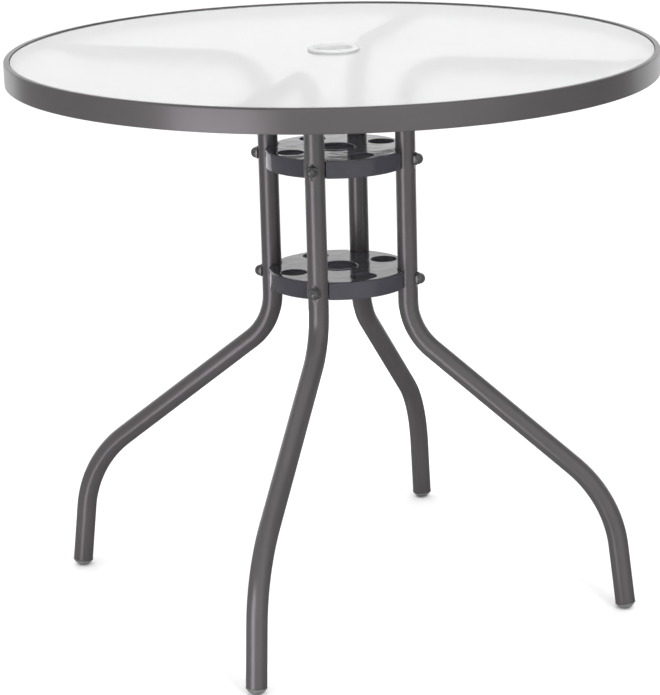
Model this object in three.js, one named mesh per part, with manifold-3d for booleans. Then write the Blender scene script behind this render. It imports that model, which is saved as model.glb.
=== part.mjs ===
// Round garden table: pebbled glass in a rolled steel rim, on four bent tube legs
// that two moulded hubs hold round a parasol pole.
// Millimetres, +Z up. The origin is on the floor, under the middle of the top.
import * as THREE from "three";
import { mergeVertices } from "three/addons/utils/BufferGeometryUtils.js";
import Module from "manifold-3d";

// Whole table
const tableHeight = 700;
const topRadius = 400;

// What pieces leave between them, how far a cut runs past, and points close enough to be one
const seatGap = 0.3;
const boltClearance = 0.4;
const cutOverrun = 2;
const mergeDistance = 0.0001;

// Rim: one steel strip, rolled and folded
const sheetThickness = 1.2;
const bandHeight = 29;
const foldRadius = 1.2;
const landWidth = 7;
const ledgeWidth = 6;
const hemWidth = 4;

// Glass and what it lies on
const glassThickness = 5;
const glassRecess = 2.5;
const glassEdgeGap = 0.8;
const glassArris = 0.8;
const padThickness = 0.8;
const padRadius = 2.4;

// Clear ring in the hole of the glass
const ringBoreRadius = 23;
const ringWall = 2;
const ringFlangeWidth = 7;
const ringFlangeThickness = 1.6;
const ringFlangeEdge = 0.6;
const ringDepthBelow = 5;
const ringBead = 0.7;
const ringBeadLength = 2;

// Legs: one bent tube each, measured in the leg's own plane from the table's axis
const tubeRadius = 12.5;
const tubeWall = 1.2;
const uprightOffset = 89;
const kneeOffset = 349.5;
const footOffset = 367;
const armBendRadius = 61;
const hipBendRadius = 80;
const kneeBendRadius = 152;

// Pressed end of each arm, with its screw and the tab under the ledge
const armTipSetback = 14;
const tongueLength = 24;
const pressLength = 34;
const pressSlit = 0.5;
const tabThickness = 3;
const tabWidth = 36;
const tabCorner = 7;
const tabSetback = 2;
const armScrewInset = 10;

// Rounded plug in each foot
const capDomeHeight = 5.5;
const capStemLength = 14;
const capStemTaper = 1;
const footFlatDepth = 0.5;

// Hubs, each on the axis of its bolts
const hubSetback = 1;
const hubHeight = 22;
const hubWall = 3;
const hubDeck = 3;
const earRound = 1.5;
const poleBoreRadius = 22;
const collarWall = 2.6;
const collarRise = 0.9;
const roundHoleRadius = 16.4;
const ribThickness = 2.2;
const ribClearance = 1.7;
const ribSetback = 3;
const bossRise = 1;

// Bolts, washers and domed nuts
const boltRadius = 3;
const headAcrossFlats = 10;
const headThickness = 4;
const washerRadius = 6.2;
const washerThickness = 1.2;
const nutAcrossFlats = 13;
const nutBaseHeight = 3;
const nutHeight = 9.7;
const nutDomeRadius = 6.2;
const nutBoreDepth = 6;

// Flats pressed in the tube under the nuts
const flatDepth = 1;
const flatLength = 11;
const flatRamp = 5;

// Heights as shares of the table's, and the round holes' place as a share of the hub's radius
const kneeHeightShare = 0.2064;
const hipHeightShare = 0.4979;
const lowerBoltShare = 0.5929;
const upperBoltShare = 0.8093;
const roundHoleShare = 0.722;

// Counts
const legCount = 4;
const hoopSides = 56;
const tubeSides = 16;
const boreSides = tubeSides / 2;
const armBendSteps = 4;
const hipBendSteps = 3;
const kneeBendSteps = 3;
const pressSteps = 2;
const collarSides = 24;
const roundHoleSides = 16;
const boltSides = 8;
const hexSides = 6;
const smallRoundSides = 10;
const domeSteps = 3;
const hubArcSteps = 5;
const notchArcSteps = 8;
const innerArcSteps = 4;
const foldSteps = 1;
const plateCurveSteps = 3;

// How square a pressed section is: 2 is round, more is flatter
const roundPower = 2;
const pressedPower = 6;

// Heights that follow from the stack at the rim
const glassTop = tableHeight - glassRecess;
const glassBottom = glassTop - glassThickness;
const ledgeTop = glassBottom - padThickness - seatGap - seatGap;
const ledgeBottom = ledgeTop - sheetThickness;
const armTop = ledgeBottom - seatGap;
const armHeight = armTop - tubeRadius;
const tongueHalf = tubeWall + pressSlit / 2;
const tongueTop = armTop - tabThickness - seatGap;
const tongueHeight = tongueTop - tongueHalf;
const kneeHeight = tableHeight * kneeHeightShare;
const hipHeight = tableHeight * hipHeightShare;
const lowerBoltHeight = tableHeight * lowerBoltShare;
const upperBoltHeight = tableHeight * upperBoltShare;

// Radii that follow from the rim
const wellRadius = topRadius - landWidth;
const ledgeRadius = wellRadius - ledgeWidth;
const glassRadius = wellRadius - glassEdgeGap;
const armTipOffset = topRadius - armTipSetback;
const armScrewOffset = armTipOffset - armScrewInset;
const barrelRadius = ringBoreRadius + ringWall;
const ringFlangeRadius = barrelRadius + ringFlangeWidth;
const holeRadius = barrelRadius + seatGap;

// Sizes that follow from the bolts, the tube and the pole
const boltHoleRadius = boltRadius + boltClearance;
const notchRadius = tubeRadius + seatGap;
const hubRadius = uprightOffset - hubSetback;
const collarRadius = poleBoreRadius + collarWall;
const roundHoleOffset = hubRadius * roundHoleShare;
const ribSpread = washerRadius + ribClearance + ribThickness / 2;
const bossFace = uprightOffset - notchRadius - hubWall - bossRise;

const fullTurn = Math.PI * 2;
const legTurn = fullTurn / legCount;

const materials = {
  paintedSteel: new THREE.MeshStandardMaterial({ color: 0x5b585b, roughness: 0.45, metalness: 0.4 }),
  pebbledGlass: new THREE.MeshStandardMaterial({
    color: 0xe8eeec,
    roughness: 0.2,
    metalness: 0,
    transparent: true,
    opacity: 0.4,
  }),
  clearPlastic: new THREE.MeshStandardMaterial({
    color: 0xe4e6e6,
    roughness: 0.25,
    metalness: 0,
    transparent: true,
    opacity: 0.6,
  }),
  hubPlastic: new THREE.MeshStandardMaterial({ color: 0x4a4a52, roughness: 0.25, metalness: 0 }),
  footPlastic: new THREE.MeshStandardMaterial({ color: 0x4e4d50, roughness: 0.5, metalness: 0 }),
  padRubber: new THREE.MeshStandardMaterial({ color: 0xd8d8d6, roughness: 0.6, metalness: 0 }),
  zincSteel: new THREE.MeshStandardMaterial({ color: 0xa9abae, roughness: 0.35, metalness: 1 }),
  darkSteel: new THREE.MeshStandardMaterial({ color: 0x565457, roughness: 0.4, metalness: 0.5 }),
};

const wasm = await Module();
wasm.setup();

// A closed geometry as a solid that can be joined and cut.
function solidFrom(geometry) {
  const bare = geometry.clone();
  bare.deleteAttribute("normal");
  bare.deleteAttribute("uv");
  const merged = mergeVertices(bare, mergeDistance);
  const mesh = new wasm.Mesh({
    numProp: 3,
    vertProperties: merged.attributes.position.array,
    triVerts: new Uint32Array(merged.index.array),
  });
  return new wasm.Manifold(mesh);
}

// A joined or cut solid back as a geometry.
function geometryFrom(solid) {
  const mesh = solid.getMesh();
  const geometry = new THREE.BufferGeometry();
  geometry.setAttribute("position", new THREE.BufferAttribute(mesh.vertProperties, mesh.numProp));
  geometry.setIndex(new THREE.BufferAttribute(mesh.triVerts, 1));
  geometry.computeVertexNormals();
  return geometry;
}

// A profile of [radius, height] pairs turned about +Z. It ends on the axis or closes on itself.
function turned(profile, sides) {
  const points = profile.map(([radius, height]) => new THREE.Vector2(radius, height));
  return new THREE.LatheGeometry(points, sides).rotateX(Math.PI / 2);
}

// The same, for a profile that goes round a hole.
function turnedRing(profile, sides) {
  return turned([...profile, profile[0]], sides);
}

// A flat shape raised from one height to another.
function raised(shape, from, to) {
  const settings = { depth: to - from, bevelEnabled: false, curveSegments: plateCurveSteps };
  return new THREE.ExtrudeGeometry(shape, settings).translate(0, 0, from);
}

// A round bar along +Z.
function bar(radius, from, to, sides) {
  return turned([[0, from], [radius, from], [radius, to], [0, to]], sides);
}

// A six-sided bar along +Z, given by its width across flats.
function hexBar(acrossFlats, from, to) {
  const cornerRadius = acrossFlats / 2 / Math.cos(Math.PI / hexSides);
  return bar(cornerRadius, from, to, hexSides);
}

// Points of an arc round a centre, both ends included.
function arcPoints(centreX, centreY, radius, start, end, steps) {
  const points = [];
  for (let i = 0; i <= steps; i += 1) {
    const angle = start + ((end - start) * i) / steps;
    points.push([centreX + radius * Math.cos(angle), centreY + radius * Math.sin(angle)]);
  }
  return points;
}

// The rim's folded strip: hem, band, flat land, well wall and the ledge under the glass.
function rimBand() {
  const bottom = tableHeight - bandHeight;
  const outerFold = topRadius - foldRadius;
  const innerFold = wellRadius + foldRadius;
  const foldHeight = tableHeight - foldRadius;
  const outerCorner = arcPoints(outerFold, foldHeight, foldRadius, 0, Math.PI / 2, foldSteps);
  const innerCorner = arcPoints(innerFold, foldHeight, foldRadius, Math.PI / 2, Math.PI, foldSteps);
  return turnedRing(
    [
      [topRadius - hemWidth, bottom],
      [topRadius, bottom],
      ...outerCorner,
      ...innerCorner,
      [wellRadius, ledgeTop],
      [ledgeRadius, ledgeTop],
      [ledgeRadius, ledgeBottom],
      [wellRadius + sheetThickness, ledgeBottom],
      [wellRadius + sheetThickness, tableHeight - sheetThickness],
      [topRadius - sheetThickness, tableHeight - sheetThickness],
      [topRadius - sheetThickness, bottom + sheetThickness],
      [topRadius - hemWidth, bottom + sheetThickness],
    ],
    hoopSides,
  );
}

// The glass, with the sharp edges of its rim ground off.
function glassTopDisc() {
  return turnedRing(
    [
      [holeRadius, glassBottom],
      [glassRadius - glassArris, glassBottom],
      [glassRadius, glassBottom + glassArris],
      [glassRadius, glassTop - glassArris],
      [glassRadius - glassArris, glassTop],
      [holeRadius, glassTop],
    ],
    hoopSides,
  );
}

function glassPad() {
  return bar(padRadius, ledgeTop + seatGap, ledgeTop + seatGap + padThickness, smallRoundSides);
}

// The clear ring: a thin flange on the glass, and a barrel with a bead that snaps under it.
function parasolRing() {
  const flangeBottom = glassTop + seatGap;
  const flangeTop = flangeBottom + ringFlangeThickness;
  const beadTop = glassBottom - seatGap;
  const bottom = glassBottom - ringDepthBelow;
  const mouth = ringFlangeThickness / 2;
  return turnedRing(
    [
      [ringBoreRadius, bottom],
      [barrelRadius, bottom],
      [barrelRadius + ringBead, beadTop - ringBeadLength],
      [barrelRadius + ringBead, beadTop],
      [barrelRadius, beadTop],
      [barrelRadius, flangeBottom],
      [ringFlangeRadius, flangeBottom],
      [ringFlangeRadius, flangeBottom + ringFlangeEdge],
      [ringFlangeRadius - ringWall, flangeTop],
      [ringBoreRadius + mouth, flangeTop],
      [ringBoreRadius, flangeTop - mouth],
    ],
    collarSides,
  );
}

// A hub's outline: a circle with a notch round each leg, whose corners may be rounded.
function hubOutline(radius, notch, round, notchSteps) {
  const cornerReach = radius - round;
  const notchReach = notch + round;
  const spread = uprightOffset ** 2;
  const difference = cornerReach ** 2 - notchReach ** 2;
  const atAxis = Math.acos((spread + difference) / (2 * cornerReach * uprightOffset));
  const atLeg = Math.acos((spread - difference) / (2 * notchReach * uprightOffset));
  const points = [];
  for (let leg = 0; leg < legCount; leg += 1) {
    const azimuth = leg * legTurn;
    const legX = uprightOffset * Math.cos(azimuth);
    const legY = uprightOffset * Math.sin(azimuth);
    const notchStart = azimuth + Math.PI + atLeg;
    const notchEnd = azimuth + Math.PI - atLeg;
    const rimStart = azimuth + atAxis;
    const rimEnd = azimuth + legTurn - atAxis;
    points.push(...arcPoints(legX, legY, notch, notchStart, notchEnd, notchSteps));
    if (round > 0) {
      const cornerX = cornerReach * Math.cos(rimStart);
      const cornerY = cornerReach * Math.sin(rimStart);
      const corner = arcPoints(cornerX, cornerY, round, notchEnd - Math.PI, rimStart, foldSteps);
      points.push(...corner.slice(1));
    }
    const rimArc = arcPoints(0, 0, radius, rimStart, rimEnd, hubArcSteps);
    points.push(...rimArc.slice(1));
    if (round > 0) {
      const cornerX = cornerReach * Math.cos(rimEnd);
      const cornerY = cornerReach * Math.sin(rimEnd);
      const nextNotch = azimuth + legTurn + atLeg;
      points.push(...arcPoints(cornerX, cornerY, round, rimEnd, nextNotch, foldSteps).slice(1, -1));
    } else {
      points.pop();
    }
  }
  return new THREE.Shape(points.map(([x, y]) => new THREE.Vector2(x, y)));
}

// A moulded hub on its bolts' axis: skirt, deck, collar, ribs, bosses, and its holes.
function hub() {
  const bottom = -hubHeight / 2;
  const top = hubHeight / 2;
  const deckBottom = top - hubDeck;
  const outline = hubOutline(hubRadius, notchRadius, earRound, notchArcSteps);
  const underside = hubOutline(hubRadius - hubWall, notchRadius + hubWall, 0, innerArcSteps);
  const block = solidFrom(raised(outline, bottom, top));
  let solid = block.subtract(solidFrom(raised(underside, bottom - cutOverrun, deckBottom)));
  solid = solid.add(solidFrom(bar(collarRadius, bottom, top + collarRise, collarSides)));
  const ribLength = uprightOffset - poleBoreRadius;
  const ribHeight = top - hubDeck / 2 - bottom - ribSetback;
  const ribMiddle = bottom + ribSetback + ribHeight / 2;
  const bossLength = uprightOffset - bossFace;
  for (let leg = 0; leg < legCount; leg += 1) {
    const stiffeners = [-ribSpread, ribSpread].map((across) => {
      const rib = new THREE.BoxGeometry(ribLength, ribThickness, ribHeight);
      return rib.translate(poleBoreRadius + ribLength / 2, across, ribMiddle);
    });
    const boss = new THREE.BoxGeometry(bossLength, ribSpread + ribSpread, ribHeight);
    stiffeners.push(boss.translate(bossFace + bossLength / 2, 0, ribMiddle));
    for (const piece of stiffeners) {
      solid = solid.add(solidFrom(piece.rotateZ(leg * legTurn)).intersect(block));
    }
  }
  const boreTop = top + collarRise + cutOverrun;
  const poleBore = bar(poleBoreRadius, bottom - cutOverrun, boreTop, collarSides);
  solid = solid.subtract(solidFrom(poleBore));
  for (let leg = 0; leg < legCount; leg += 1) {
    const hole = bar(roundHoleRadius, bottom - cutOverrun, top + cutOverrun, roundHoleSides);
    hole.translate(roundHoleOffset, 0, 0).rotateZ((leg + 0.5) * legTurn);
    solid = solid.subtract(solidFrom(hole));
    const boltHole = bar(boltHoleRadius, bossFace - cutOverrun, uprightOffset, boltSides);
    solid = solid.subtract(solidFrom(boltHole.rotateY(Math.PI / 2).rotateZ(leg * legTurn)));
  }
  return geometryFrom(solid);
}

// The lean of a foot, and how high the tube ends above the floor so that its cap stands flat.
const footLean = Math.atan((footOffset - kneeOffset) / kneeHeight);
const domeSphere = (tubeRadius ** 2 + capDomeHeight ** 2) / (2 * capDomeHeight);
const capHeight = domeSphere - (domeSphere - capDomeHeight) * Math.cos(footLean) - footFlatDepth;
const footHeight = capHeight + seatGap * Math.cos(footLean);
const footEndOffset = footOffset - footHeight * Math.tan(footLean);

// One stretch of a leg's centre line: where, which way, and the tube's section there.
function station(x, z, heading, section = {}) {
  return { x, z, heading, half: tubeRadius, wide: tubeRadius, power: roundPower, flat: 0, ...section };
}

// A bend between two straight runs, as stations along its arc, no longer than its room allows.
function bend(corner, before, after, wantedRadius, room, steps) {
  const turn = after - before;
  const slope = Math.tan(Math.abs(turn) / 2);
  const radius = Math.min(wantedRadius, room / slope);
  const reach = radius * slope;
  const startX = corner[0] - reach * Math.cos(before);
  const startZ = corner[1] - reach * Math.sin(before);
  const side = Math.sign(turn) * (Math.PI / 2);
  const centreX = startX + radius * Math.cos(before + side);
  const centreZ = startZ + radius * Math.sin(before + side);
  const stations = [];
  for (let i = 0; i <= steps; i += 1) {
    const heading = before + (turn * i) / steps;
    const x = centreX - radius * Math.cos(heading + side);
    const z = centreZ - radius * Math.sin(heading + side);
    stations.push(station(x, z, heading));
  }
  return stations;
}

// The flat under a nut: round, pressed, pressed, round, going down the upright.
function pressedFlat(height) {
  const half = flatLength / 2;
  const down = -Math.PI / 2;
  return [
    station(uprightOffset, height + half + flatRamp, down),
    station(uprightOffset, height + half, down, { flat: flatDepth }),
    station(uprightOffset, height - half, down, { flat: flatDepth }),
    station(uprightOffset, height - half - flatRamp, down),
  ];
}

// The arm's end: a flat tongue for the screw, then the tube opening out to its full round.
function pressedTongue() {
  const inward = Math.PI;
  const tongueWide = (Math.PI / 2) * (tubeRadius - tongueHalf) + tongueHalf;
  const pressed = { half: tongueHalf, wide: tongueWide, power: pressedPower };
  const stations = [station(armTipOffset, tongueHeight, inward, pressed)];
  const pressStart = armTipOffset - tongueLength;
  for (let i = 0; i <= pressSteps; i += 1) {
    const share = i / pressSteps;
    const eased = THREE.MathUtils.smoothstep(share, 0, 1);
    const height = THREE.MathUtils.lerp(tongueHeight, armHeight, eased);
    const opening = {
      half: THREE.MathUtils.lerp(tongueHalf, tubeRadius, eased),
      wide: THREE.MathUtils.lerp(tongueWide, tubeRadius, eased),
      power: THREE.MathUtils.lerp(pressedPower, roundPower, share),
    };
    stations.push(station(pressStart - pressLength * share, height, inward, opening));
  }
  return stations;
}

// A leg's centre line, from the arm's tip to the foot.
function legStations() {
  const inward = Math.PI;
  const down = Math.PI * 1.5;
  const splay = fullTurn + Math.atan2(kneeHeight - hipHeight, kneeOffset - uprightOffset);
  const stand = down + footLean;
  const flatReach = flatLength / 2 + flatRamp;
  const armRoom = armHeight - upperBoltHeight - flatReach;
  const hipRoom = lowerBoltHeight - hipHeight - flatReach;
  const shinLength = Math.hypot(kneeOffset - uprightOffset, hipHeight - kneeHeight);
  const kneeRoom = Math.min(shinLength - hipRoom, kneeHeight - footHeight - tubeRadius);
  return [
    ...pressedTongue(),
    ...bend([uprightOffset, armHeight], inward, down, armBendRadius, armRoom, armBendSteps),
    ...pressedFlat(upperBoltHeight),
    ...pressedFlat(lowerBoltHeight),
    ...bend([uprightOffset, hipHeight], down, splay, hipBendRadius, hipRoom, hipBendSteps),
    ...bend([kneeOffset, kneeHeight], splay, stand, kneeBendRadius, kneeRoom, kneeBendSteps),
    station(footEndOffset, footHeight, stand),
  ];
}

// One ring of points round a station, set in from the tube's skin for the bore.
function sectionRing(at, inset, sides) {
  const half = at.half - inset;
  const wide = at.wide - inset;
  const pressedTo = at.half - at.flat - inset;
  const outX = -Math.sin(at.heading);
  const outZ = Math.cos(at.heading);
  const ring = [];
  for (let i = 0; i < sides; i += 1) {
    const angle = (fullTurn * i) / sides;
    const c = Math.cos(angle);
    const s = Math.sin(angle);
    const along = Math.min(half * Math.sign(c) * Math.abs(c) ** (2 / at.power), pressedTo);
    const across = wide * Math.sign(s) * Math.abs(s) ** (2 / at.power);
    ring.push([at.x + outX * along, across, at.z + outZ * along]);
  }
  return ring;
}

// A tube through all its stations, open at both ends. Its bore has half as many sides as its skin.
function hollowTube(stations) {
  const skin = stations.flatMap((at) => sectionRing(at, 0, tubeSides));
  const bore = stations.flatMap((at) => sectionRing(at, tubeWall, boreSides));
  const faces = [];
  const onSkin = (ring, side) => ring * tubeSides + (side % tubeSides);
  const onBore = (ring, side) => skin.length + ring * boreSides + (side % boreSides);
  const last = stations.length - 1;
  for (let ring = 0; ring < last; ring += 1) {
    for (let side = 0; side < tubeSides; side += 1) {
      faces.push(onSkin(ring, side), onSkin(ring + 1, side + 1), onSkin(ring, side + 1));
      faces.push(onSkin(ring, side), onSkin(ring + 1, side), onSkin(ring + 1, side + 1));
    }
    for (let side = 0; side < boreSides; side += 1) {
      faces.push(onBore(ring, side), onBore(ring, side + 1), onBore(ring + 1, side + 1));
      faces.push(onBore(ring, side), onBore(ring + 1, side + 1), onBore(ring + 1, side));
    }
  }
  for (let side = 0; side < boreSides; side += 1) {
    const first = side + side;
    faces.push(onSkin(0, first), onSkin(0, first + 1), onBore(0, side));
    faces.push(onSkin(0, first + 1), onBore(0, side + 1), onBore(0, side));
    faces.push(onSkin(0, first + 1), onSkin(0, first + 2), onBore(0, side + 1));
    faces.push(onSkin(last, first), onBore(last, side), onSkin(last, first + 1));
    faces.push(onSkin(last, first + 1), onBore(last, side), onBore(last, side + 1));
    faces.push(onSkin(last, first + 1), onBore(last, side + 1), onSkin(last, first + 2));
  }
  const geometry = new THREE.BufferGeometry();
  geometry.setAttribute("position", new THREE.Float32BufferAttribute([...skin, ...bore].flat(), 3));
  geometry.setIndex(faces);
  return geometry;
}

// A leg with the holes for its two hub bolts and its arm screw.
function leg() {
  let solid = solidFrom(hollowTube(legStations()));
  for (const height of [upperBoltHeight, lowerBoltHeight]) {
    const reach = tubeRadius + cutOverrun;
    const hole = bar(boltHoleRadius, uprightOffset - reach, uprightOffset + reach, boltSides);
    solid = solid.subtract(solidFrom(hole.rotateY(Math.PI / 2).translate(0, 0, height)));
  }
  const reach = tongueHalf + cutOverrun;
  const screwHole = bar(boltHoleRadius, tongueHeight - reach, tongueHeight + reach, boltSides);
  solid = solid.subtract(solidFrom(screwHole.translate(armScrewOffset, 0, 0)));
  return geometryFrom(solid);
}

// A foot cap in its leg's plane, cut flat where it stands on the floor.
function footCap() {
  const stemRadius = (tubeRadius - tubeWall) * Math.cos(Math.PI / boreSides) - seatGap;
  const halfAngle = Math.asin(tubeRadius / domeSphere);
  const sphereHeight = domeSphere - capDomeHeight;
  const dome = arcPoints(0, sphereHeight, domeSphere, -Math.PI / 2, halfAngle - Math.PI / 2, domeSteps);
  const profile = [
    ...dome,
    [stemRadius, 0],
    [stemRadius - capStemTaper, capStemLength],
    [0, capStemLength],
  ];
  const placed = turned(profile, tubeSides);
  placed.rotateY(-footLean);
  placed.translate(footOffset - capHeight * Math.tan(footLean), 0, capHeight);
  const floorWidth = domeSphere * 2;
  const floor = new THREE.BoxGeometry(floorWidth, floorWidth, cutOverrun);
  floor.translate(footOffset, 0, -cutOverrun / 2);
  return geometryFrom(solidFrom(placed).subtract(solidFrom(floor)));
}

// A hexagon bolt along +Z, its head's underside at zero.
function hexBolt(length) {
  const head = solidFrom(hexBar(headAcrossFlats, -headThickness, 0));
  const shank = solidFrom(bar(boltRadius, -headThickness / 2, length, boltSides));
  return geometryFrom(head.add(shank));
}

function washer() {
  return turnedRing(
    [
      [boltHoleRadius, 0],
      [washerRadius, 0],
      [washerRadius, washerThickness],
      [boltHoleRadius, washerThickness],
    ],
    smallRoundSides,
  );
}

// A domed nut along +Z, its seat at zero.
function capNut() {
  const domeBase = nutHeight - nutDomeRadius;
  const dome = arcPoints(0, domeBase, nutDomeRadius, 0, Math.PI / 2, domeSteps);
  dome[dome.length - 1][0] = 0;
  const body = solidFrom(turned([[0, 0], [nutDomeRadius, 0], ...dome], smallRoundSides));
  const base = solidFrom(hexBar(nutAcrossFlats, 0, nutBaseHeight));
  const bore = solidFrom(bar(boltHoleRadius, -cutOverrun, nutBoreDepth, boltSides));
  return geometryFrom(body.add(base).subtract(bore));
}

// The welded tab over an arm's tongue: a plate with two rounded corners and the screw's hole.
function rimTab() {
  const outerEnd = wellRadius;
  const innerEnd = armTipOffset - tongueLength + tabSetback;
  const half = tabWidth / 2;
  const shape = new THREE.Shape();
  shape.moveTo(outerEnd, -half);
  shape.lineTo(outerEnd, half);
  shape.lineTo(innerEnd + tabCorner, half);
  shape.absarc(innerEnd + tabCorner, half - tabCorner, tabCorner, Math.PI / 2, Math.PI, false);
  shape.absarc(innerEnd + tabCorner, tabCorner - half, tabCorner, Math.PI, Math.PI * 1.5, false);
  shape.closePath();
  const hole = arcPoints(armScrewOffset, 0, boltHoleRadius, fullTurn, 0, boltSides).slice(1);
  shape.holes.push(new THREE.Path(hole.map(([x, y]) => new THREE.Vector2(x, y))));
  return raised(shape, armTop - tabThickness, armTop);
}

function mesh(name, geometry, material) {
  const made = new THREE.Mesh(geometry, material);
  made.name = name;
  return made;
}

// What one hub bolt holds together, along its axis from the hub to the nut.
function boltSet(label, height) {
  const washerFace = bossFace - seatGap - washerThickness;
  const headFace = washerFace - seatGap;
  const nutFace = uprightOffset + tubeRadius - flatDepth + seatGap;
  const boltEnd = nutFace + nutBoreDepth - seatGap;
  const set = new THREE.Group();
  const bolt = mesh(`hub_bolt_${label}`, hexBolt(boltEnd - headFace), materials.zincSteel);
  bolt.position.z = headFace;
  const flatWasher = mesh(`hub_washer_${label}`, washer(), materials.zincSteel);
  flatWasher.position.z = washerFace;
  const nut = mesh(`cap_nut_${label}`, capNut(), materials.darkSteel);
  nut.position.z = nutFace;
  set.add(bolt, flatWasher, nut);
  set.rotation.y = Math.PI / 2;
  set.position.z = height;
  return set;
}

// A leg with everything that goes with it round the table.
function legSet(number) {
  const set = new THREE.Group();
  const screwSeat = tongueHeight - tongueHalf - seatGap;
  const screw = mesh(`arm_screw_${number}`, hexBolt(armTop - screwSeat), materials.zincSteel);
  screw.position.set(armScrewOffset, 0, screwSeat);
  set.add(
    mesh(`leg_${number}`, leg(), materials.paintedSteel),
    mesh(`foot_cap_${number}`, footCap(), materials.footPlastic),
    mesh(`rim_tab_${number}`, rimTab(), materials.paintedSteel),
    screw,
    boltSet(`upper_${number}`, upperBoltHeight),
    boltSet(`lower_${number}`, lowerBoltHeight),
  );
  const pad = mesh(`glass_pad_${number}`, glassPad(), materials.padRubber);
  const padOffset = (ledgeRadius + glassRadius) / 2;
  pad.position.x = padOffset * Math.cos(legTurn / 2);
  pad.position.y = padOffset * Math.sin(legTurn / 2);
  set.add(pad);
  set.rotation.z = (number - 1) * legTurn;
  return set;
}

const table = new THREE.Group();
table.name = "umbrella_table";
table.add(
  mesh("rim_band", rimBand(), materials.paintedSteel),
  mesh("glass_top", glassTopDisc(), materials.pebbledGlass),
  mesh("parasol_ring", parasolRing(), materials.clearPlastic),
);
const upperHub = mesh("upper_hub", hub(), materials.hubPlastic);
upperHub.position.z = upperBoltHeight;
const lowerHub = mesh("lower_hub", hub(), materials.hubPlastic);
lowerHub.position.z = lowerBoltHeight;
table.add(upperHub, lowerHub);
for (let number = 1; number <= legCount; number += 1) table.add(legSet(number));

export default table;
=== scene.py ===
import bmesh
import bpy
import math
from mathutils import Matrix, Vector


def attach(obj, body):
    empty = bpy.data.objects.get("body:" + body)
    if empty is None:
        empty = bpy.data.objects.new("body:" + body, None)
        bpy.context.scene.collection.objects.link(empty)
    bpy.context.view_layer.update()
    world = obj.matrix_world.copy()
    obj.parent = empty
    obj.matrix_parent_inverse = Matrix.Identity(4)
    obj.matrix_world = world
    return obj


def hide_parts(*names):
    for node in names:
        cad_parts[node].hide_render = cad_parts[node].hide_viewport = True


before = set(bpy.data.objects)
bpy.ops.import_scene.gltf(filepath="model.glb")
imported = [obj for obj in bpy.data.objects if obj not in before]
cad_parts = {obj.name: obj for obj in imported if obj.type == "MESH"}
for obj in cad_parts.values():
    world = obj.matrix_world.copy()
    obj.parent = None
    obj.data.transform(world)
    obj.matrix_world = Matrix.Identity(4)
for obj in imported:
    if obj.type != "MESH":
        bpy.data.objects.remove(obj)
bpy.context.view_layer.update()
print("frame loaded:", len(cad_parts), "nodes")

mm = 0.001          # sizes below are in millimetres, Blender works in metres
fullTurn = math.pi * 2
legCount = 4
seatGap = 0.3       # what pieces leave between them
weldReach = 1e-4    # vertices nearer than this are one
roundSteps = 4      # steps of a rounded corner
fewSteps = 3        # the same on a small one


def easeCorners(corners, steps=roundSteps, closed=True):
    # corners are (r, z, radius); each becomes an arc, or stays a point where the radius is 0
    points = []
    count = len(corners)
    edgeShare = 0.48        # what one arc may take of the edges beside it
    for i, (r, z, radius) in enumerate(corners):
        here = Vector((r, z))
        if radius == 0 or (not closed and i in (0, count - 1)):
            points.append((r, z))
            continue
        before = Vector(corners[i - 1][:2]) - here
        after = Vector(corners[(i + 1) % count][:2]) - here
        room = min(before.length, after.length) * edgeShare
        half = before.angle(after) / 2
        reach = min(radius / math.tan(half), room)
        radius = reach * math.tan(half)
        start = here + before.normalized() * reach
        end = here + after.normalized() * reach
        centre = here + (before.normalized() + after.normalized()).normalized() * (radius / math.sin(half))
        a, b = start - centre, end - centre
        angle = math.atan2(a.x * b.y - a.y * b.x, a.dot(b))
        for k in range(steps + 1):
            turned = Matrix.Rotation(angle * k / steps, 2) @ a
            points.append(tuple(centre + turned))
    return points


def arcLine(centreX, centreY, radius, start, end, steps):
    return [
        (
            centreX + radius * math.cos(start + (end - start) * i / steps),
            centreY + radius * math.sin(start + (end - start) * i / steps),
        )
        for i in range(steps + 1)
    ]


def circleLine(centreX, centreY, radius, steps):
    return arcLine(centreX, centreY, radius, 0, fullTurn, steps)[:-1]


def turnProfile(shape, profile, segments, closed=True):
    # sweeps (r, z) points round the z axis; points on the axis are single vertices
    angles = [fullTurn * i / segments for i in range(segments)]
    rings = []
    for r, z in profile:
        if r < weldReach:
            rings.append([shape.verts.new((0, 0, z))])
        else:
            rings.append([shape.verts.new((r * math.cos(a), r * math.sin(a), z)) for a in angles])
    following = rings[1:] + rings[:1] if closed else rings[1:]
    for lower, upper in zip(rings, following):
        for i in range(segments):
            j = (i + 1) % segments
            if len(lower) == 1 and len(upper) == 1:
                break
            if len(lower) == 1:
                shape.faces.new((lower[0], upper[j], upper[i]))
            elif len(upper) == 1:
                shape.faces.new((lower[i], lower[j], upper[0]))
            else:
                shape.faces.new((lower[i], lower[j], upper[j], upper[i]))


def outwardNormals(line, isHole):
    # the way out of the material at each point, longer at corners so that an offset keeps its width
    leastCosine = 0.5       # keeps a sharp corner from running away
    normals = []
    points = [Vector(p) for p in line]
    following = points[1:] + points[:1]
    area = sum(a.x * b.y - b.x * a.y for a, b in zip(points, following))
    side = 1 if area > 0 else -1
    side = -side if isHole else side
    for i, (b, c) in enumerate(zip(points, following)):
        a = points[i - 1]
        n1 = Vector(((b - a).y, -(b - a).x)).normalized()
        n2 = Vector(((c - b).y, -(c - b).x)).normalized()
        mean = (n1 + n2).normalized()
        stretch = 1 / max(mean.dot(n1), leastCosine)
        normals.append(mean * stretch * side)
    return normals


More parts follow.
